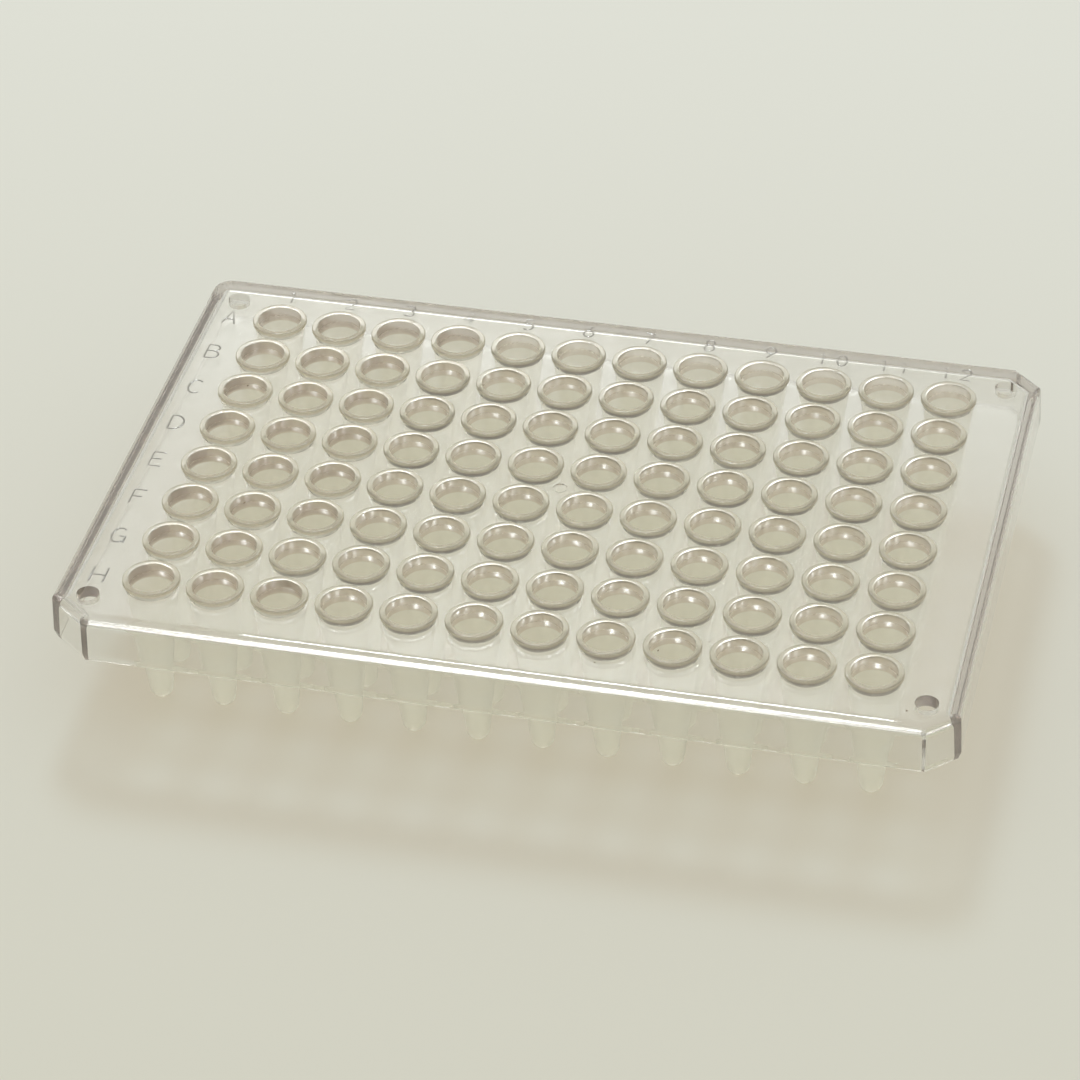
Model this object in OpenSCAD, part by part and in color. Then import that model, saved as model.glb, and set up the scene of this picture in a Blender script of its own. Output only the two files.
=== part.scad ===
// Well plate for a thermal cycler, standing on the tips of its vessels.
// A clear drafted frame carries the grid. One thin-walled vessel is moulded into each
// hole of its deck and is held there like a rivet, by a collar above and a shoulder below.
// Millimetres, +Z up. X runs along the columns 1 to 12 and +Y runs from row H to row A.
// The origin is under the middle of the grid, at the level of the vessels' tips.

/* [Grid] */
// Distance between neighbouring wells
pitch = 9; // [8.6:0.1:9.2]
// Number of wells in each lettered row
columns = 12; // [4:1:12]

/* [Frame] */
// Length of the frame over its outer walls, at the level of the deck's top
frame_l = 123.7; // [122:0.1:127]
// Width of the frame over its outer walls, at the level of the deck's top
frame_w = 82.4; // [81:0.1:85]
// Thickness of the deck
deck_t = 1.8; // [1.2:0.1:2.4]
// Height of the frame from the skirt's lower edge to the top of the deck
frame_h = 7.5; // [6:0.1:10]
// Thickness of the skirt wall under the deck
wall_t = 1.5; // [1.2:0.1:1.6]
// Rounding of the outer edge between deck and skirt
edge_r = 0.9; // [0.4:0.1:1]
// Fillet inside the skirt, under the deck
fillet_r = 0.9; // [0.4:0.1:1]
// How far the skirt flares outwards on each side by its lower edge
flare = 0.25; // [0.1:0.05:0.4]
// How far the cavity of the skirt widens on each side by its lower edge
cavity_flare = 0.35; // [0.1:0.05:0.5]
// Height of the lead-in bevel round the skirt's lower edge
bevel_h = 1.35; // [0.6:0.05:1.8]
// Depth of that bevel
bevel_d = 0.45; // [0.2:0.05:0.6]
// Rounding of the skirt's lower outer edge
foot_r = 0.2; // [0.1:0.05:0.3]
// Rounding of the edge between the bevel and the wall above it
brow_r = 0.6; // [0.2:0.1:1]

/* [Corners] */
// Radius of the rounded corner beside well A1
corner_r = 2.6; // [2.5:0.1:4]
// Length of the cut corner beside well H1
cut_h1 = 5.3; // [3:0.1:6]
// Length of the cut corners beside wells H12 and A12
cut_right = 4; // [3:0.1:5]

/* [Corner holes] */
// Diameter of the four holes through the deck
hole_d = 3.2; // [2.6:0.1:3.4]
// Distance between those holes along the plate
hole_span_x = 114.2; // [114:0.1:114.6]
// Distance between those holes across the plate
hole_span_y = 72; // [71.6:0.1:72.4]

/* [Gate mark] */
// Diameter of the dimple that the mould's gate leaves in the middle of the deck
gate_d = 2; // [1:0.1:2.4]
// Depth of that dimple
gate_depth = 0.2; // [0.1:0.05:0.4]

/* [Vessels] */
// Height of a vessel from its tip to the top of its collar
vessel_h = 20.4; // [18:0.1:22]
// Height of the collar over the deck
collar_h = 0.5; // [0.5:0.05:0.7]
// Inner radius of the mouth
mouth_r = 3.1; // [2.9:0.05:3.1]
// Width of the flat collar round the mouth
collar_w = 0.85; // [0.6:0.05:0.9]
// Rounding of the collar's two upper edges
collar_edge_r = 0.2; // [0.1:0.05:0.25]
// Wall thickness of the mouth, below the deck
mouth_t = 0.4; // [0.35:0.05:0.45]
// Radius of the neck in the deck's hole
neck_r = 3.45; // [3.4:0.01:3.5]
// Depth of the straight mouth below the top of the deck
mouth_depth = 3; // [2.8:0.1:5]
// Height of the locking shoulder under the deck
shoulder_h = 0.6; // [0.3:0.05:0.8]
// How far the shoulder reaches out past the deck's hole
shoulder_w = 0.2; // [0.1:0.05:0.4]
// Outer radius of the round tip
tip_r = 1.6; // [1.4:0.05:1.8]
// Wall thickness of the tip
tip_t = 0.4; // [0.3:0.05:0.5]

/* [Hidden] */
rows = 8;
$fn = 48;
clear_tint = [0.87, 0.88, 0.86, 0.45];
frosted_tint = [0.88, 0.86, 0.80, 0.75];

// levels
deck_z = vessel_h - collar_h;
under_z = deck_z - deck_t;
skirt_z = deck_z - frame_h;
mouth_z = deck_z - mouth_depth;

// the corner beyond a cut is removed along a line that meets the two sides at these legs
cut_a12 = [cut_right, cut_right - 0.3];
cut_h12 = [cut_right, cut_right - 0.3];
cut_front_left = [cut_h1, cut_h1 - 1.1];
corner_steps = 8;
edge_steps = 8;
foot_steps = 4;

// passing a cut right through a face, by this much
over = 1;

// place of a well by its column and row, counted from A1
function well_x(column) = (column - (columns - 1) / 2) * pitch;
function well_y(row) = ((rows - 1) / 2 - row) * pitch;

// The two legs of a corner cut after the whole outline has moved outwards by off,
// so that every edge stays parallel to itself.
function moved_cut(legs, off) =
    let (
        hyp = norm(legs),
        across = [legs[1] / hyp, legs[0] / hyp],
        depth = legs[0] * across[0] + off * (across[0] + across[1] - 1)
    )
    [depth / across[0], depth / across[1]];

// Outline of the frame moved outwards by off, anticlockwise from the front left cut
function outline(off) =
    let (
        x = frame_l / 2 + off,
        y = frame_w / 2 + off,
        h1 = moved_cut(cut_front_left, off),
        h12 = moved_cut(cut_h12, off),
        a12 = moved_cut(cut_a12, off),
        round_x = corner_r - frame_l / 2,
        round_y = frame_w / 2 - corner_r,
        r = corner_r + off
    )
    concat(
        [[h1[0] - x, -y], [x - h12[0], -y], [x, h12[1] - y], [x, y - a12[1]], [x - a12[0], y]],
        [for (i = [0 : corner_steps])
            let (turn = 90 + 90 * i / corner_steps)
            [round_x + r * cos(turn), round_y + r * sin(turn)]],
        [[-x, h1[1] - y]]
    );

// Solid through a stack of outlines, each given as [offset, height], from the lowest up
module loft(stack) {
    count = len(outline(0));
    last = len(stack) - 1;
    points = [for (level = stack, p = outline(level[0])) [p[0], p[1], level[1]]];
    floor_face = [for (i = [0 : count - 1]) i];
    roof_face = [for (i = [count - 1 : -1 : 0]) last * count + i];
    side_faces = [for (k = [0 : last - 1], i = [0 : count - 1])
        let (next = (i + 1) % count)
        [k * count + i, (k + 1) * count + i, (k + 1) * count + next, k * count + next]];
    polyhedron(points = points, faces = concat([floor_face], side_faces, [roof_face]));
}

// Arc of [offset, height] levels that rounds the edge at [side, z] between a lower and an
// upper face. Each face is given by how many degrees its outward normal points upwards.
function rounded_edge(side, z, r, lower, upper, steps) =
    let (
        middle = (lower + upper) / 2,
        reach = r / cos((upper - lower) / 2)
    )
    [for (i = [0 : steps])
        let (turn = lower + (upper - lower) * i / steps)
        [side + r * cos(turn) - reach * cos(middle), z + r * sin(turn) - reach * sin(middle)]];

// Outer body of the frame: flat foot, lead-in bevel, drafted wall and flat top, with every
// edge between them rounded
module frame_body() {
    bevel_turn = -atan(bevel_d / bevel_h);
    wall_turn = atan(flare / (frame_h - bevel_h));
    loft(concat(
        rounded_edge(flare - bevel_d, skirt_z, foot_r, -90, bevel_turn, foot_steps),
        rounded_edge(flare, skirt_z + bevel_h, brow_r, bevel_turn, wall_turn, foot_steps),
        rounded_edge(0, deck_z, edge_r, wall_turn, 90, edge_steps)
    ));
}

// Space under the deck, open below
module frame_cavity() {
    mouth_off = cavity_flare - wall_t;
    wall_turn = atan(cavity_flare / (under_z - skirt_z));
    loft(concat(
        [[mouth_off, skirt_z - over], [mouth_off, skirt_z]],
        rounded_edge(-wall_t, under_z, fillet_r, wall_turn, 90, edge_steps)
    ));
}

module deck_bore(r) {
    translate([0, 0, under_z - over])
        cylinder(r = r, h = deck_t + 2 * over);
}

// Clear frame with its deck, its skirt, the vessels' seats, the corner holes and the gate mark
module frame() {
    color(clear_tint)
    difference() {
        frame_body();
        frame_cavity();
        for (row = [0 : rows - 1], column = [0 : columns - 1])
            translate([well_x(column), well_y(row), 0])
                deck_bore(neck_r);
        for (x = [-1, 1] * hole_span_x / 2, y = [-1, 1] * hole_span_y / 2)
            translate([x, y, 0])
                deck_bore(hole_d / 2);
        translate([0, 0, deck_z - gate_depth])
            cylinder(r = gate_d / 2, h = gate_depth + over);
    }
}

// Half profile of a round-tipped cone under a straight mouth. ball_r is the radius of
// the tip, whose centre is at height ball_z, and top_r the radius of the mouth.
module tapered_half(ball_r, ball_z, top_r, top_z) {
    rise = mouth_z - ball_z;
    taper = atan(top_r / rise) - asin(ball_r / norm([top_r, rise]));
    intersection() {
        union() {
            translate([0, ball_z])
                circle(r = ball_r);
            polygon([
                [0, ball_z - ball_r * sin(taper)],
                [ball_r * cos(taper), ball_z - ball_r * sin(taper)],
                [top_r, mouth_z],
                [top_r, top_z],
                [0, top_z]
            ]);
        }
        square([2 * top_r, vessel_h + over]);
    }
}

// Half profile of the collar on the deck, with its two upper edges rounded
module collar_half() {
    inset = collar_edge_r;
    translate([mouth_r, deck_z]) {
        square([collar_w, collar_h - inset]);
        translate([inset, 0])
            square([collar_w - 2 * inset, collar_h]);
        for (x = [inset, collar_w - inset])
            translate([x, collar_h - inset])
                circle(r = collar_edge_r);
    }
}

// Half profile of the neck in its hole and the shoulder that locks it under the deck
module neck_half() {
    shoulder_r = neck_r + shoulder_w;
    translate([mouth_r, under_z])
        square([neck_r - mouth_r, deck_t]);
    polygon([
        [mouth_r, under_z - shoulder_h],
        [mouth_r + mouth_t, under_z - shoulder_h],
        [shoulder_r, under_z - shoulder_h / 2],
        [shoulder_r, under_z],
        [mouth_r, under_z]
    ]);
}

// One vessel, open at the top
module vessel() {
    rotate_extrude()
        difference() {
            union() {
                tapered_half(tip_r, tip_r, mouth_r + mouth_t, under_z);
                neck_half();
                collar_half();
            }
            tapered_half(tip_r - tip_t, tip_r, mouth_r, deck_z + over);
        }
}

// The vessels of one lettered row, each a solid of its own
module well_row(row) {
    color(frosted_tint)
    for (column = [0 : columns - 1])
        translate([well_x(column), well_y(row), 0])
            vessel();
}

module well_row_a() { well_row(0); }
module well_row_b() { well_row(1); }
module well_row_c() { well_row(2); }
module well_row_d() { well_row(3); }
module well_row_e() { well_row(4); }
module well_row_f() { well_row(5); }
module well_row_g() { well_row(6); }
module well_row_h() { well_row(7); }

frame();
well_row_a();
well_row_b();
well_row_c();
well_row_d();
well_row_e();
well_row_f();
well_row_g();
well_row_h();
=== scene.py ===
# %% [markdown]
# # A 96 well plate of clear and frosted plastic
#
# The real object is moulded in two shots. A stiff frame of clear polycarbonate comes first, and
# 96 thin vessels of frosted polypropylene are moulded into the holes of its deck. The exact shapes
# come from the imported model, so this script adds what a solid model can't hold: two plastics that
# bend and soften light, the fine raised marks on the deck, a little dust, and a pale table with
# soft light. Each part below says what the thing is, how it could be made, and why it is made so.

# %% The model, as a fixed frame
import math

import bmesh
import bpy
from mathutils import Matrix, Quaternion, Vector, noise


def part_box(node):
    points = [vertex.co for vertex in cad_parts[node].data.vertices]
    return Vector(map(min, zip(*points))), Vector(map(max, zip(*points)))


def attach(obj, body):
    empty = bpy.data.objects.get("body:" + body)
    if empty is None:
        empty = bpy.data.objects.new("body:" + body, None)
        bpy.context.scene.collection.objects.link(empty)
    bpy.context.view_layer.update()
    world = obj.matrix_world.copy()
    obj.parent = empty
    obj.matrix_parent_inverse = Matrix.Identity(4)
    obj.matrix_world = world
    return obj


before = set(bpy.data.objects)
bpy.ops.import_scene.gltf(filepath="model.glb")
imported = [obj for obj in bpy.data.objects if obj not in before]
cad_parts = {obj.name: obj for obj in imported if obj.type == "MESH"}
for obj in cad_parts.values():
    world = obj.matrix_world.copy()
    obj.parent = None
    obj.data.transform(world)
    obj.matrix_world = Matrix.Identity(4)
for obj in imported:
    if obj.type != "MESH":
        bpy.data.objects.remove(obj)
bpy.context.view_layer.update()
scene = bpy.context.scene
MM = 0.001
deck_low, deck_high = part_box("frame")
deck_top = deck_high[2]
print("frame box, mm:", [round(v / MM, 1) for v in deck_low], [round(v / MM, 1) for v in deck_high])

# %% [markdown]
# ## Two small helpers
#
# A maker writes a colour as a hex value, as on a colour card. Blender works in linear light, so one
# function turns every hex value into it. The other adds one node to a material with its settings,
# and joins whatever sockets it is given. With these two, a material reads like its recipe.


# %% Colours and nodes
def linear(card):
    """A colour card's hex value, such as "#DDDCD2", as linear red, green, blue and alpha."""
    parts = [int(card[i : i + 2], 16) / 255 for i in (1, 3, 5)]
    return [v / 12.92 if v <= 0.04045 else ((v + 0.055) / 1.055) ** 2.4 for v in parts] + [1.0]


def add(tree, kind, settings=None, inputs=None):
    """Adds a node. inputs maps a socket's name or number to a value or to another node's socket."""
    made = tree.nodes.new(kind)
    for name, value in (settings or {}).items():
        setattr(made, name, value)
    for name, value in (inputs or {}).items():
        if isinstance(value, bpy.types.NodeSocket):
            tree.links.new(value, made.inputs[name])
        else:
            made.inputs[name].default_value = value
    return made


def empty_material(name):
    """A material with an empty node tree, and the tree."""
    material = bpy.data.materials.new(name)
    material.use_nodes = True
    material.node_tree.nodes.clear()
    return material, material.node_tree


print("a mid grey card in linear light:", [round(v, 3) for v in linear("#808080")])

# %% [markdown]
# ## Where the two plastics are fused
#
# In a two shot moulding the second plastic welds to the first. Light crosses a weld almost
# unbent, since both plastics bend it nearly alike. The model has a wall of each plastic on the very
# same place there, which a renderer would show as two mirrors. So both materials let light
# straight through on the welded faces: the wall of each hole, and the rings above and below it.
#
# The welds repeat every 9 mm, so a weld is found from the distance to the nearest well's axis and
# from the height. That keeps it out of the mesh, and one small group of nodes serves both plastics.

# %% The mask of the welded faces
PITCH = 9.0 * MM
COLUMNS, ROWS = 12, 8
NECK = 3.45 * MM
COLLAR = 3.95 * MM
SHOULDER = 0.2 * MM
DECK_UNDER = deck_top - 1.8 * MM
HAIR = 0.02 * MM
THIN = HAIR / 4

# Nearest and farthest distance from the well's axis, lowest and highest level
WELDS = [
    (NECK - 3 * HAIR, NECK + HAIR, DECK_UNDER - HAIR, deck_top + HAIR),
    (NECK - HAIR, COLLAR, deck_top - THIN, deck_top + THIN),
    (NECK - HAIR, NECK + SHOULDER, DECK_UNDER - THIN, DECK_UNDER + THIN),
]


def inside(tree, value, low, high):
    """A socket that is 1 where value lies between low and high."""
    above = add(tree, "ShaderNodeMath", {"operation": "GREATER_THAN"}, {0: value, 1: low})
    below = add(tree, "ShaderNodeMath", {"operation": "LESS_THAN"}, {0: value, 1: high})
    between = add(
        tree, "ShaderNodeMath", {"operation": "MULTIPLY"}, {0: above.outputs[0], 1: below.outputs[0]}
    )
    return between.outputs[0]


def well_distance(tree):
    """Distance from the axis of the nearest well, and height, both in metres."""
    place = add(tree, "ShaderNodeTexCoord")
    parts = add(tree, "ShaderNodeSeparateXYZ", inputs={0: place.outputs["Object"]})
    across = []
    for axis in ("X", "Y"):
        turns = add(tree, "ShaderNodeMath", {"operation": "DIVIDE"}, {0: parts.outputs[axis], 1: PITCH})
        whole = add(tree, "ShaderNodeMath", {"operation": "FRACT"}, {0: turns.outputs[0]})
        off = add(tree, "ShaderNodeMath", {"operation": "SUBTRACT"}, {0: whole.outputs[0], 1: 0.5})
        side = add(tree, "ShaderNodeMath", {"operation": "MULTIPLY"}, {0: off.outputs[0], 1: PITCH})
        across.append(side.outputs[0])
    flat = add(tree, "ShaderNodeCombineXYZ", inputs={0: across[0], 1: across[1]})
    length = add(tree, "ShaderNodeVectorMath", {"operation": "LENGTH"}, {0: flat.outputs[0]})
    return length.outputs["Value"], parts.outputs["Z"]


def in_field(tree):
    """1 over the block of wells, so the margins have no welds."""
    place = add(tree, "ShaderNodeTexCoord")
    parts = add(tree, "ShaderNodeSeparateXYZ", inputs={0: place.outputs["Object"]})
    sides = []
    for axis, count in (("X", COLUMNS), ("Y", ROWS)):
        sides.append(inside(tree, parts.outputs[axis], -count / 2 * PITCH, count / 2 * PITCH))
    both = add(tree, "ShaderNodeMath", {"operation": "MULTIPLY"}, {0: sides[0], 1: sides[1]})
    return both.outputs[0]


def welded(tree):
    """1 on the faces where the two plastics are one."""
    reach, height = well_distance(tree)
    any_weld = 0.0
    for near, far, low, high in WELDS:
        ring = add(
            tree, "ShaderNodeMath", {"operation": "MULTIPLY"},
            {0: inside(tree, reach, near, far), 1: inside(tree, height, low, high)},
        )
        either = add(tree, "ShaderNodeMath", {"operation": "MAXIMUM"}, {0: any_weld, 1: ring.outputs[0]})
        any_weld = either.outputs[0]
    held = add(tree, "ShaderNodeMath", {"operation": "MULTIPLY"}, {0: any_weld, 1: in_field(tree)})
    return held.outputs[0]


print(len(WELDS), "welds at each of", COLUMNS * ROWS, "wells")

# %% [markdown]
# ## Light through plastic
#
# A lamp's light reaches the table through the plate, softly tinted. Following each bent ray from a
# lamp takes a renderer very long, so the usual way is taken: for shadow rays, and for light that a
# matt face passes on, the plastic is a plain tinted film. Both must meet the same film, or the
# table under the plate would get its light twice. The colour that the film takes away is what
# gives the shadow its warm tone.
#
# Clear plastic is never quite clear over a long way. Where light runs along inside a wall or a
# deck, a few centimetres of plastic turn it taupe, so the inside of the frame absorbs a little.


# %% The ending that both plastics share
def finish(tree, plastic, film, tint=None):
    """Ends a plastic: welds let light through, and shadow rays meet a plain tinted film."""
    through = add(tree, "ShaderNodeBsdfTransparent")
    joined = add(tree, "ShaderNodeMixShader", inputs={0: welded(tree), 1: plastic, 2: through.outputs[0]})
    tinted = add(tree, "ShaderNodeBsdfTransparent", inputs={"Color": linear(film)})
    path = add(tree, "ShaderNodeLightPath")
    plain = add(
        tree, "ShaderNodeMath", {"operation": "MAXIMUM"},
        {0: path.outputs["Is Shadow Ray"], 1: path.outputs["Is Diffuse Ray"]},
    )
    last = add(
        tree, "ShaderNodeMixShader",
        inputs={0: plain.outputs[0], 1: joined.outputs[0], 2: tinted.outputs[0]},
    )
    end = add(tree, "ShaderNodeOutputMaterial", inputs={"Surface": last.outputs[0]})
    if tint:
        card, density = tint
        depth = add(tree, "ShaderNodeVolumeAbsorption", inputs={"Color": linear(card), "Density": density})
        tree.links.new(depth.outputs[0], end.inputs["Volume"])
    print(len(tree.nodes), "nodes in this plastic")


# %% [markdown]
# ## The clear plastic: polycarbonate from a mould
#
# Polycarbonate bends light strongly (1.585), so its edges go dark or bright while its faces all
# but vanish. The outside of the mould is polished, which leaves the plate glossy. Four things keep
# it from looking like perfect glass:
#
# - the skin is slightly wavy, a few thousandths of a millimetre over some 12 mm, from the
#   plastic's flow and shrinkage;
# - handling leaves it a shade less sharp in places;
# - a faint haze, 7 %, scatters light back as white;
# - the core side of the mould, under the deck, is ground and not polished, so it is a little matt
#   and the vessels below are lost in it. The skirt's inside is smoother, from drawing off the core.
#
# The core fills the space under the deck, so every face that it shapes looks at a spot well below
# the plate's middle. That gives the rule: a face is on the core side when it lies at the deck's
# underside or lower, and its outward normal turns towards that spot.

# %% Clear polycarbonate
HAZE = 0.07
FLOW_SIZE, FLOW_HEIGHT = 12 * MM, 0.004 * MM
RUB_SIZE = 3 * MM
SHARP, RUBBED = 0.02, 0.06
DECK_MATT, SKIRT_MATT = 0.12, 0.03
FILLET = 0.9 * MM
CORE_SPOT = -60 * MM
clear_plastic, tree = empty_material("clear_polycarbonate")
place = add(tree, "ShaderNodeTexCoord")
flow = add(
    tree, "ShaderNodeTexNoise",
    inputs={"Vector": place.outputs["Object"], "Scale": 1 / FLOW_SIZE, "Detail": 2.0},
)
skin = add(
    tree, "ShaderNodeBump",
    inputs={"Strength": 1.0, "Distance": FLOW_HEIGHT, "Height": flow.outputs["Fac"]},
)
rub = add(
    tree, "ShaderNodeTexNoise",
    inputs={"Vector": place.outputs["Object"], "Scale": 1 / RUB_SIZE, "Detail": 4.0},
)
gloss = add(
    tree, "ShaderNodeMapRange",
    inputs={
        "Value": rub.outputs["Fac"], "From Min": 0.4, "From Max": 0.8,
        "To Min": SHARP, "To Max": RUBBED,
    },
)
print("skin wavy by", FLOW_HEIGHT / MM, "mm over", round(FLOW_SIZE / MM), "mm")

# %% The matt core side
normal = add(tree, "ShaderNodeNewGeometry")
arm = add(
    tree, "ShaderNodeVectorMath", {"operation": "SUBTRACT"},
    {0: place.outputs["Object"], 1: (0, 0, CORE_SPOT)},
)
away = add(
    tree, "ShaderNodeVectorMath", {"operation": "DOT_PRODUCT"},
    {0: normal.outputs["Normal"], 1: arm.outputs[0]},
)
# A ray inside the plastic sees each normal turned round, so this turns it back: -1 there, else 1
turn = add(
    tree, "ShaderNodeMath", {"operation": "MULTIPLY_ADD"},
    {0: normal.outputs["Backfacing"], 1: -2.0, 2: 1.0},
)
outward = add(
    tree, "ShaderNodeMath", {"operation": "MULTIPLY"}, {0: away.outputs["Value"], 1: turn.outputs[0]}
)
parts = add(tree, "ShaderNodeSeparateXYZ", inputs={0: place.outputs["Object"]})
inner = add(tree, "ShaderNodeMath", {"operation": "LESS_THAN"}, {0: outward.outputs[0], 1: 0.0})
below = add(
    tree, "ShaderNodeMath", {"operation": "LESS_THAN"}, {0: parts.outputs["Z"], 1: DECK_UNDER + HAIR}
)
core_side = add(
    tree, "ShaderNodeMath", {"operation": "MULTIPLY"}, {0: inner.outputs[0], 1: below.outputs[0]}
)
ground = add(
    tree, "ShaderNodeMapRange",
    inputs={
        "Value": parts.outputs["Z"], "From Min": DECK_UNDER - FILLET, "From Max": DECK_UNDER - HAIR,
        "To Min": SKIRT_MATT, "To Max": DECK_MATT,
    },
)
matt = add(
    tree, "ShaderNodeMath", {"operation": "MULTIPLY_ADD"},
    {0: core_side.outputs[0], 1: ground.outputs["Result"], 2: gloss.outputs["Result"]},
)
body = add(
    tree, "ShaderNodeBsdfPrincipled",
    inputs={
        "Base Color": linear("#FEFFFD"), "IOR": 1.585, "Transmission Weight": 1 - HAZE,
        "Roughness": matt.outputs[0], "Normal": skin.outputs["Normal"],
    },
)
finish(tree, body.outputs[0], "#F2EBE3", ("#94797A", 50.0))

# %% [markdown]
# ## The frosted plastic: thin polypropylene
#
# Polypropylene is milky because it sets as fine crystals, and the mould's matt cores frost its
# skin. It is thin here, so it stays see-through but blurs what is behind it. So most of the light
# goes through a rough surface, and a part is scattered by a milk that shines to both sides.
#
# The milk isn't the same all over. The thin cone is whitish. In the throat, inside the deck's
# thickness, the skin is a little more matt, and the milk is denser and browner: painted shade,
# for the dark band that light running along inside the deck leaves there. The collar that stands
# on the deck takes the deck's own tone, and its outer wall is the cloudiest. The skin is smoothest
# at the collar, where a lid has to seal.

# %% Frosted polypropylene, first its skin
POLISH_DEPTH = 2.0 * MM
CONE_MATT, SEAL_MATT, GRAIN_MATT = 0.3, 0.06, 0.06
GRAIN_SIZE = 0.5 * MM
frosted_plastic, tree = empty_material("frosted_polypropylene")
place = add(tree, "ShaderNodeTexCoord")
near, height = well_distance(tree)
grain = add(
    tree, "ShaderNodeTexNoise",
    inputs={"Vector": place.outputs["Object"], "Scale": 1 / GRAIN_SIZE, "Detail": 3.0},
)
polish = add(
    tree, "ShaderNodeMapRange",
    inputs={
        "Value": height, "From Min": deck_top - POLISH_DEPTH, "From Max": deck_top,
        "To Min": CONE_MATT, "To Max": SEAL_MATT,
    },
)
skin = add(
    tree, "ShaderNodeMath", {"operation": "MULTIPLY_ADD"},
    {0: grain.outputs["Fac"], 1: GRAIN_MATT, 2: polish.outputs["Result"]},
)
print("frost grain", GRAIN_SIZE / MM, "mm")

# %% Its zones: throat, outer wall of the collar, cone
CONE_MILK, THROAT_SHADE_MILK, COLLAR_MILK, OUTER_MILK = 0.3, 0.48, 0.42, 0.7
THROAT_MATT = 0.08
THROAT_REACH, THROAT_TOP = 3.3 * MM, deck_top + 0.28 * MM
OUTER_NEAR, OUTER_FAR, OUTER_TOP = 3.85 * MM, 4.2 * MM, deck_top + 0.4 * MM
MILK_STEP = 0.1 * MM
throat = add(
    tree, "ShaderNodeMath", {"operation": "MULTIPLY"},
    {0: inside(tree, near, 0.0, THROAT_REACH), 1: inside(tree, height, DECK_UNDER, THROAT_TOP)},
)
outer = add(
    tree, "ShaderNodeMath", {"operation": "MULTIPLY"},
    {0: inside(tree, near, OUTER_NEAR, OUTER_FAR), 1: inside(tree, height, deck_top, OUTER_TOP)},
)
frost = add(
    tree, "ShaderNodeMath", {"operation": "MULTIPLY_ADD"},
    {0: throat.outputs[0], 1: THROAT_MATT, 2: skin.outputs[0]},
)
milk = add(
    tree, "ShaderNodeMapRange",
    inputs={
        "Value": height, "From Min": DECK_UNDER - MILK_STEP, "From Max": DECK_UNDER,
        "To Min": CONE_MILK, "To Max": COLLAR_MILK,
    },
)
# The throat's extra milk is painted shade, for the dark band inside the deck.
milk = add(
    tree, "ShaderNodeMath", {"operation": "MULTIPLY_ADD"},
    {0: throat.outputs[0], 1: THROAT_SHADE_MILK - COLLAR_MILK, 2: milk.outputs["Result"]},
)
milk = add(
    tree, "ShaderNodeMath", {"operation": "MULTIPLY_ADD"},
    {0: outer.outputs[0], 1: OUTER_MILK - COLLAR_MILK, 2: milk.outputs[0]},
)
print("milk of cone, throat, collar, outer wall:", CONE_MILK, THROAT_SHADE_MILK, COLLAR_MILK, OUTER_MILK)

# %% Its milk and its clear part
cone = add(tree, "ShaderNodeMath", {"operation": "LESS_THAN"}, {0: height, 1: DECK_UNDER})
shade = add(
    tree, "ShaderNodeMix", {"data_type": "RGBA"},
    {"Factor": cone.outputs[0], 6: linear("#DAD7C7"), 7: linear("#F9FDF8")},
)
# The throat's browner milk colour is painted shade, for the dark band inside the deck.
shade = add(
    tree, "ShaderNodeMix", {"data_type": "RGBA"},
    {"Factor": throat.outputs[0], 6: shade.outputs[2], 7: linear("#D6CCBF")},
)
front = add(tree, "ShaderNodeBsdfDiffuse", inputs={"Color": shade.outputs[2]})
rear = add(tree, "ShaderNodeBsdfTranslucent", inputs={"Color": shade.outputs[2]})
both = add(tree, "ShaderNodeMixShader", inputs={0: 0.5, 1: front.outputs[0], 2: rear.outputs[0]})
clear = add(
    tree, "ShaderNodeBsdfPrincipled",
    inputs={
        "Base Color": linear("#FFFEFB"), "IOR": 1.49, "Transmission Weight": 0.98,
        "Roughness": frost.outputs[0],
    },
)
body = add(
    tree, "ShaderNodeMixShader", inputs={0: milk.outputs[0], 1: clear.outputs[0], 2: both.outputs[0]}
)
finish(tree, body.outputs[0], "#FEFEFD")

# %% Each node of the model gets its plastic
for name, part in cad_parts.items():
    part.data.materials.clear()
    part.data.materials.append(clear_plastic if name == "frame" else frosted_plastic)
    print(name, len(part.data.polygons), "faces ->", part.data.materials[0].name)

# %% [markdown]
# ## Raised letters and numbers
#
# The letters A to H stand on the deck's left margin and the numbers 1 to 12 along its back. A
# moulder cuts them into the mould with a small ball-ended tool that follows each stroke, so on
# the deck each stroke is a low round ridge, under a tenth of a millimetre high. The same is done
# here: a round rod is drawn along every stroke, the rods are melted into one body, and the body is
# cut flat just under the deck's surface, so that only the crown of the rod stands out. Melting
# works on small cubes. The smallest that Blender's slider offers is a ten-thousandth of a unit,
# 0.1 mm when the unit is a metre, and these are 0.045 mm. So the melting is done in millimetres,
# and the result is scaled to metres.

# %% Strokes of each sign, one unit tall
BOW_STEPS = 12


def bow(cx, cy, rx, ry, start, end):
    """Points along a part of an oval, from one angle to another in degrees."""
    turns = [math.radians(start + (end - start) * i / BOW_STEPS) for i in range(BOW_STEPS + 1)]
    return [(cx + rx * math.cos(t), cy + ry * math.sin(t)) for t in turns]


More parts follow.
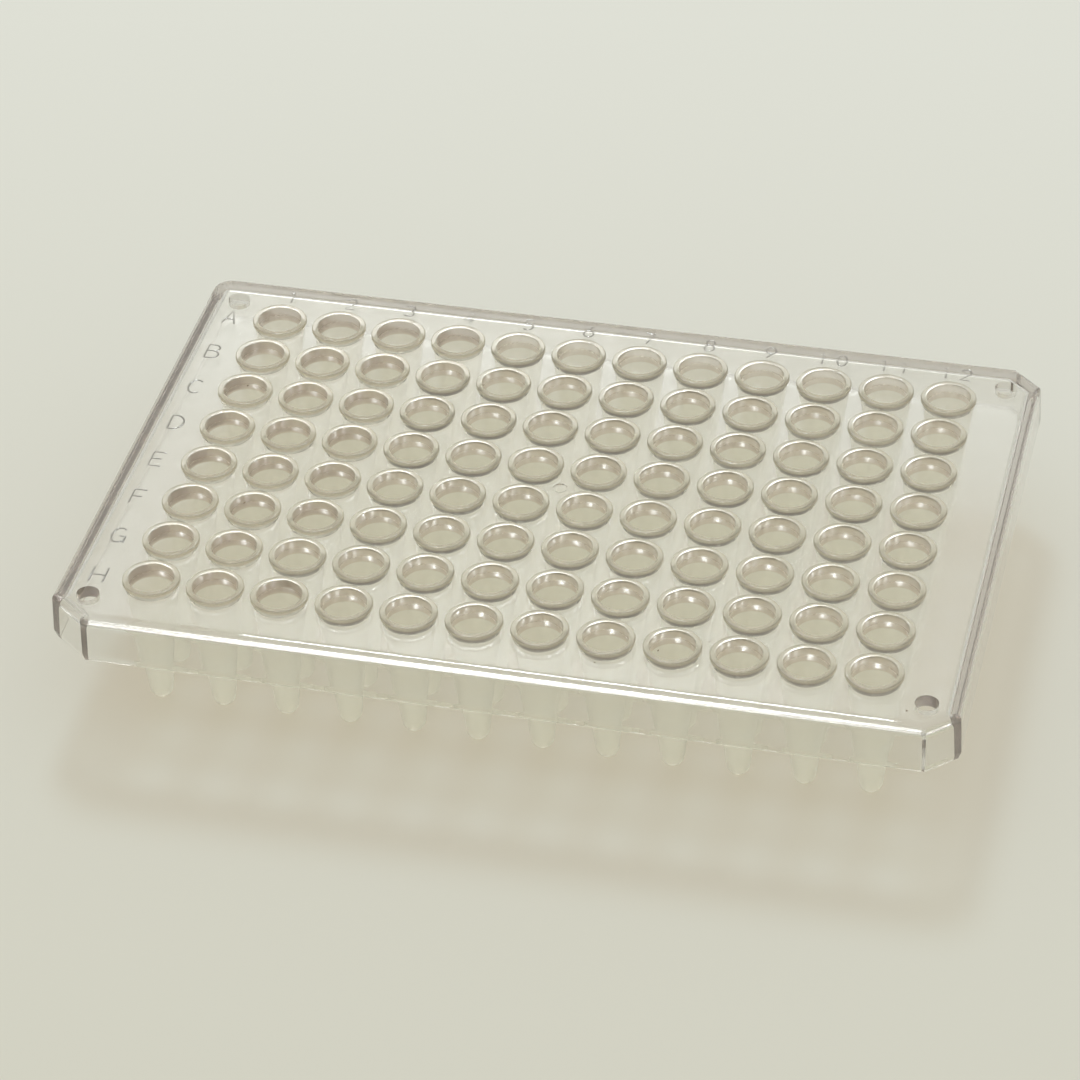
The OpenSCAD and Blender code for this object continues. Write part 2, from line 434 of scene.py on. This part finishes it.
STROKES = {
    "A": [[(0, 0), (0.3, 1), (0.6, 0)], [(0.1, 0.35), (0.5, 0.35)]],
    "B": [[(0, 0), (0, 1), *bow(0.3, 0.77, 0.25, 0.23, 90, -90), (0, 0.54)],
          [(0, 0.54), *bow(0.32, 0.27, 0.28, 0.27, 90, -90), (0, 0)]],
    "C": [bow(0.33, 0.5, 0.33, 0.5, 50, 310)],
    "D": [[(0, 0), (0, 1), *bow(0.2, 0.5, 0.42, 0.5, 90, -90), (0, 0)]],
    "E": [[(0.56, 1), (0, 1), (0, 0), (0.56, 0)], [(0, 0.52), (0.48, 0.52)]],
    "F": [[(0.56, 1), (0, 1), (0, 0)], [(0, 0.52), (0.46, 0.52)]],
    "G": [[*bow(0.33, 0.5, 0.33, 0.5, 50, 325), (0.62, 0.45), (0.36, 0.45)], [(0.62, 0.45), (0.64, 0)]],
    "H": [[(0, 0), (0, 1)], [(0.62, 0), (0.62, 1)], [(0, 0.5), (0.62, 0.5)]],
    "0": [bow(0.3, 0.5, 0.27, 0.5, 90, 450)],
    "1": [[(0.16, 0.82), (0.33, 1), (0.33, 0)]],
    "2": [[*bow(0.3, 0.73, 0.27, 0.27, 160, -35), (0.03, 0), (0.58, 0)]],
    "3": [bow(0.28, 0.77, 0.25, 0.23, 150, -90), bow(0.28, 0.27, 0.29, 0.27, 90, -150)],
    "4": [[(0.44, 0), (0.44, 1), (0.02, 0.3), (0.6, 0.3)]],
    "5": [[(0.52, 1), (0.1, 1), *bow(0.28, 0.32, 0.28, 0.32, 130, -140)]],
    "6": [[(0.48, 1), *bow(0.31, 0.31, 0.28, 0.31, 150, 510)]],
    "7": [[(0.03, 1), (0.57, 1), (0.2, 0)]],
    "8": [bow(0.3, 0.77, 0.23, 0.23, -90, 270), bow(0.3, 0.27, 0.28, 0.27, 90, 450)],
    "9": [[(0.12, 0), *bow(0.29, 0.69, 0.28, 0.31, -30, 330)]],
}
print(len(STROKES), "signs,", sum(len(s) for s in STROKES.values()), "strokes")


# %% Rods along the strokes, melted together and cut flat
SIGN_MIDDLE = 0.3
RIDGE_WIDTH, RIDGE_HEIGHT, SUNK = 0.26, 0.06, 0.02
ROD = (RIDGE_WIDTH**2 / 4 + RIDGE_HEIGHT**2) / (2 * RIDGE_HEIGHT)
MELT_CUBE = 0.045


def as_mesh(thing):
    """The plain mesh of a curve, or of a mesh with its modifiers."""
    graph = bpy.context.evaluated_depsgraph_get()
    return bpy.data.meshes.new_from_object(thing.evaluated_get(graph), depsgraph=graph)


def linked(name, data):
    """A new object in the scene that shows this mesh, curve, lamp or lens."""
    made = bpy.data.objects.new(name, data)
    scene.collection.objects.link(made)
    return made


def raised(name, signs, tall):
    """One piece from (sign, x, y) in millimetres, each sign tall and centred on its place."""
    drawn = bpy.data.curves.new(name + "_strokes", "CURVE")
    drawn.dimensions = "3D"
    drawn.bevel_depth = ROD
    drawn.bevel_resolution = 5
    drawn.use_fill_caps = True
    crown = deck_top / MM + RIDGE_HEIGHT - ROD
    for sign, x, y in signs:
        for stroke in STROKES[sign]:
            line = drawn.splines.new("POLY")
            line.points.add(len(stroke) - 1)
            for point, (u, v) in zip(line.points, stroke):
                point.co = (x + (u - SIGN_MIDDLE) * tall, y + (v - 0.5) * tall, crown, 1)
    rods = linked(name + "_strokes", drawn)
    melted = linked(name + "_melted", as_mesh(rods))
    melt = melted.modifiers.new("melt", "REMESH")
    melt.mode = "VOXEL"
    melt.voxel_size = MELT_CUBE
    shape = as_mesh(melted)
    for used in (rods, melted):
        bpy.data.objects.remove(used)

    body = bmesh.new()
    body.from_mesh(shape)
    everything = body.verts[:] + body.edges[:] + body.faces[:]
    cut = bmesh.ops.bisect_plane(
        body, geom=everything, plane_co=(0, 0, deck_top / MM - SUNK), plane_no=(0, 0, 1), clear_inner=True
    )
    rims = [e for e in cut["geom_cut"] if isinstance(e, bmesh.types.BMEdge)]
    bmesh.ops.triangle_fill(body, use_beauty=True, edges=rims, normal=(0, 0, -1))
    bmesh.ops.recalc_face_normals(body, faces=body.faces[:])
    for face in body.faces:
        face.smooth = abs(face.normal.z + 1) > 0.01
    bmesh.ops.scale(body, vec=(MM, MM, MM), verts=body.verts[:])
    open_edges = sum(1 for e in body.edges if not e.is_manifold)
    print(name, len(body.faces), "faces,", open_edges, "open edges")
    body.to_mesh(shape)
    body.free()
    shape.name = name
    shape.materials.append(clear_plastic)
    piece = linked(name, shape)
    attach(piece, "root")


# %% The letters and the numbers in their places
LETTER_TALL, NUMBER_TALL = 3.2, 2.6
LETTER_X, LETTER_SHIFT_Y = -57.0, -0.2
NUMBER_Y, NUMBER_SHIFT_X, DIGIT_STEP = 38.0, 0.1, 2.9
letters = []
for row in range(ROWS):
    row_y = ((ROWS - 1) / 2 - row) * PITCH / MM
    letters.append(("ABCDEFGH"[row], LETTER_X, row_y + LETTER_SHIFT_Y))
digits = []
for column in range(COLUMNS):
    column_x = (column - (COLUMNS - 1) / 2) * PITCH / MM
    word = str(column + 1)
    for seat, digit in enumerate(word):
        off = (seat - (len(word) - 1) / 2) * DIGIT_STEP
        digits.append((digit, column_x + NUMBER_SHIFT_X + off, NUMBER_Y))
raised("row_letters", letters, LETTER_TALL)
raised("column_numbers", digits, NUMBER_TALL)

# %% [markdown]
# ## A few specks of dust
#
# Static plastic draws dust. A few brown grains, a quarter of a millimetre across, lie on the deck
# and cling to the inner walls of some wells. Each is a small ball of facets whose corners are
# pushed in and out by smooth noise, then pressed flat against the face it lies on.

# %% Brown house dust
MOTTLE_SIZE = 0.08 * MM
dust, tree = empty_material("house_dust")
place = add(tree, "ShaderNodeTexCoord")
mottle = add(
    tree, "ShaderNodeTexNoise", inputs={"Vector": place.outputs["Object"], "Scale": 1 / MOTTLE_SIZE}
)
shade = add(
    tree, "ShaderNodeMix", {"data_type": "RGBA"},
    {"Factor": mottle.outputs["Fac"], 6: linear("#5B4A3A"), 7: linear("#9A8A74")},
)
body = add(tree, "ShaderNodeBsdfPrincipled", inputs={"Base Color": shade.outputs[2], "Roughness": 0.9})
add(tree, "ShaderNodeOutputMaterial", inputs={"Surface": body.outputs[0]})
print("dust mottled every", round(MOTTLE_SIZE / MM, 3), "mm")

# %% The specks: place of each in millimetres, the way its face looks, and its width
DECK = deck_top / MM
UP = (0, 0, 1)
SPECKS = [
    ((54.8, -38.1, DECK), UP, 0.3),
    ((13.1, -36.6, DECK), UP, 0.22),
    ((27.0, -29.2, DECK), UP, 0.2),
    ((20.1, -29.5, DECK - 2.4), (0.77, -0.64, 0), 0.26),
    ((-42.5, -11.1, DECK - 0.8), (0.63, -0.77, 0), 0.26),
    ((-50.1, 16.5, DECK - 1.1), (0.18, -0.98, 0), 0.24),
]
SLIM, LIFT, FLATNESS = 0.8, 0.4, 0.45
RAGGED = 0.35

body = bmesh.new()
for number, (spot, face_way, width) in enumerate(SPECKS):
    ball = bmesh.ops.create_icosphere(body, subdivisions=3, radius=0.5)["verts"]
    turn = Vector(face_way).to_track_quat("Z", "Y")
    for corner in ball:
        push = noise.noise(corner.co * 3 + Vector((number * 7, 0, 0)))
        shape = corner.co * (1 + RAGGED * push)
        flat = Vector((shape.x, shape.y * SLIM, (shape.z + LIFT) * FLATNESS)) * width
        corner.co = (Vector(spot) + turn @ flat) * MM
specks_mesh = bpy.data.meshes.new("dust_specks")
body.to_mesh(specks_mesh)
body.free()
specks_mesh.materials.append(dust)
specks = linked("dust_specks", specks_mesh)
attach(specks, "root")
print(len(SPECKS), "specks of dust")

# %% [markdown]
# ## A pale table
#
# The plate stands on a plain, matt, pale sheet that runs on behind it. Its colour changes slowly
# along the table, whiter at the back and warmer at the front: painted light, for the lamp's light
# that falls off towards the front.

# %% The table
TABLE_HALF = 2.0
TABLE_FRONT, TABLE_BACK = -0.14, 0.16
sheet_mesh = bpy.data.meshes.new("table_sheet")
corners = [(TABLE_HALF * x, TABLE_HALF * y, 0) for x, y in ((-1, -1), (1, -1), (1, 1), (-1, 1))]
sheet_mesh.from_pydata(corners, [], [(0, 1, 2, 3)])
sheet = linked("table_sheet", sheet_mesh)
matt_card, tree = empty_material("matt_card")
place = add(tree, "ShaderNodeTexCoord")
parts = add(tree, "ShaderNodeSeparateXYZ", inputs={0: place.outputs["Object"]})
along = add(
    tree, "ShaderNodeMapRange",
    inputs={"Value": parts.outputs["Y"], "From Min": TABLE_FRONT, "From Max": TABLE_BACK},
)
# Painted light: lighter and cooler at the back, near the lamp, warmer towards the front.
painted_falloff = add(
    tree, "ShaderNodeMix", {"data_type": "RGBA"},
    {"Factor": along.outputs["Result"], 6: linear("#D8D6CA"), 7: linear("#E0E0D9")},
)
body = add(
    tree, "ShaderNodeBsdfPrincipled",
    inputs={"Base Color": painted_falloff.outputs[2], "Roughness": 0.8, "Specular IOR Level": 0.2},
)
add(tree, "ShaderNodeOutputMaterial", inputs={"Surface": body.outputs[0]})
sheet_mesh.materials.append(matt_card)
print("table", 2 * TABLE_HALF, "m wide, its shade turns over", round(TABLE_BACK - TABLE_FRONT, 2), "m")

# %% [markdown]
# ## Soft light
#
# One soft lamp stands behind the plate, high and a little to its left, so the shadow falls
# towards the viewer and every collar gets a thin white arc on its far side. It stands 48 degrees
# above the table, clear of the 37 degrees at which the deck would mirror it to the camera. The
# room round it is pale: a white ceiling, a pale wall behind, which the deck mirrors as an even
# veil, and a dimmer side towards the viewer, which draws the darker lines in the edges of the
# clear plastic.

# %% The lamp
LAMP_PLACE = Vector((-0.359, 1.29, 1.487))
LAMP_WIDTH, LAMP_WATTS = 0.46, 11.4
lamp = bpy.data.lights.new("window_light", "AREA")
lamp.shape = "DISK"
lamp.size = LAMP_WIDTH
lamp.energy = LAMP_WATTS
lamp.color = linear("#F4FAFF")[:3]
holder = linked("window_light", lamp)
holder.location = LAMP_PLACE
holder.rotation_euler = (-LAMP_PLACE).to_track_quat("-Z", "Y").to_euler()
steep = math.degrees(math.asin(LAMP_PLACE.z / LAMP_PLACE.length))
print("lamp", round(LAMP_PLACE.length, 2), "m away,", round(steep), "degrees up")

# %% The room
WALL_SIDE = 0.9
WALL_TOP, CEILING = 0.7, 0.95
room = bpy.data.worlds.new("pale_room")
scene.world = room
room.use_nodes = True
tree = room.node_tree
tree.nodes.clear()
place = add(tree, "ShaderNodeTexCoord")
parts = add(tree, "ShaderNodeSeparateXYZ", inputs={0: place.outputs["Generated"]})
depth = add(
    tree, "ShaderNodeMapRange",
    inputs={"Value": parts.outputs["Y"], "From Min": -WALL_SIDE, "From Max": WALL_SIDE},
)
walls = add(
    tree, "ShaderNodeMix", {"data_type": "RGBA"},
    {"Factor": depth.outputs["Result"], 6: linear("#CCC9BC"), 7: linear("#DEE0D7")},
)
rise = add(
    tree, "ShaderNodeMapRange",
    inputs={"Value": parts.outputs["Z"], "From Min": WALL_TOP, "From Max": CEILING},
)
whole = add(
    tree, "ShaderNodeMix", {"data_type": "RGBA"},
    {"Factor": rise.outputs["Result"], 6: walls.outputs[2], 7: linear("#FAFAFA")},
)
light = add(tree, "ShaderNodeBackground", inputs={"Color": whole.outputs[2], "Strength": 1.0})
add(tree, "ShaderNodeOutputWorld", inputs={"Surface": light.outputs[0]})
print("the ceiling starts", round(math.degrees(math.asin(WALL_TOP))), "degrees up")

# %% [markdown]
# ## The camera
#
# A long lens looks from the front and a little from the right, 37 degrees above the table. From
# more than half a metre away the rows of wells run nearly parallel, as they do to the eye at a
# bench, and all 96 mouths can be seen.

# %% The camera
CAMERA_AIM = Vector((0, -0.0122, 0.0199))
CAMERA_REACH = 0.573
AROUND, ABOVE, ROLL = math.radians(14.157), math.radians(37.38), math.radians(-1.56)
LENS_MM, SENSOR_MM = 139.8, 36
back = Vector(
    (math.sin(AROUND) * math.cos(ABOVE), -math.cos(AROUND) * math.cos(ABOVE), math.sin(ABOVE))
)
lens = bpy.data.cameras.new("camera")
lens.sensor_width = SENSOR_MM
lens.lens = LENS_MM
camera = linked("camera", lens)
camera.location = CAMERA_AIM + CAMERA_REACH * back
camera.rotation_mode = "QUATERNION"
camera.rotation_quaternion = (-back).to_track_quat("-Z", "Y") @ Quaternion((0, 0, 1), ROLL)
scene.camera = camera
scene.view_settings.view_transform = "Standard"
print("camera", CAMERA_REACH, "m away, lens", LENS_MM, "mm")

# %% [markdown]
# ## How far light is followed
#
# A ray that looks along the deck crosses wall after wall. With a low limit it would stop inside
# and leave the plate black there, so the limits are raised. The tree that chooses between many
# lamps is of no use with one lamp, and the picture is ready sooner without it.

# %% Limits for light inside the plastic
LIGHT_STEPS, WELD_STEPS = 24, 48
scene.cycles.max_bounces = LIGHT_STEPS
scene.cycles.transmission_bounces = LIGHT_STEPS
scene.cycles.glossy_bounces = LIGHT_STEPS
scene.cycles.transparent_max_bounces = WELD_STEPS
scene.cycles.use_light_tree = False
print("light is followed over", LIGHT_STEPS, "bends and", WELD_STEPS, "welds")
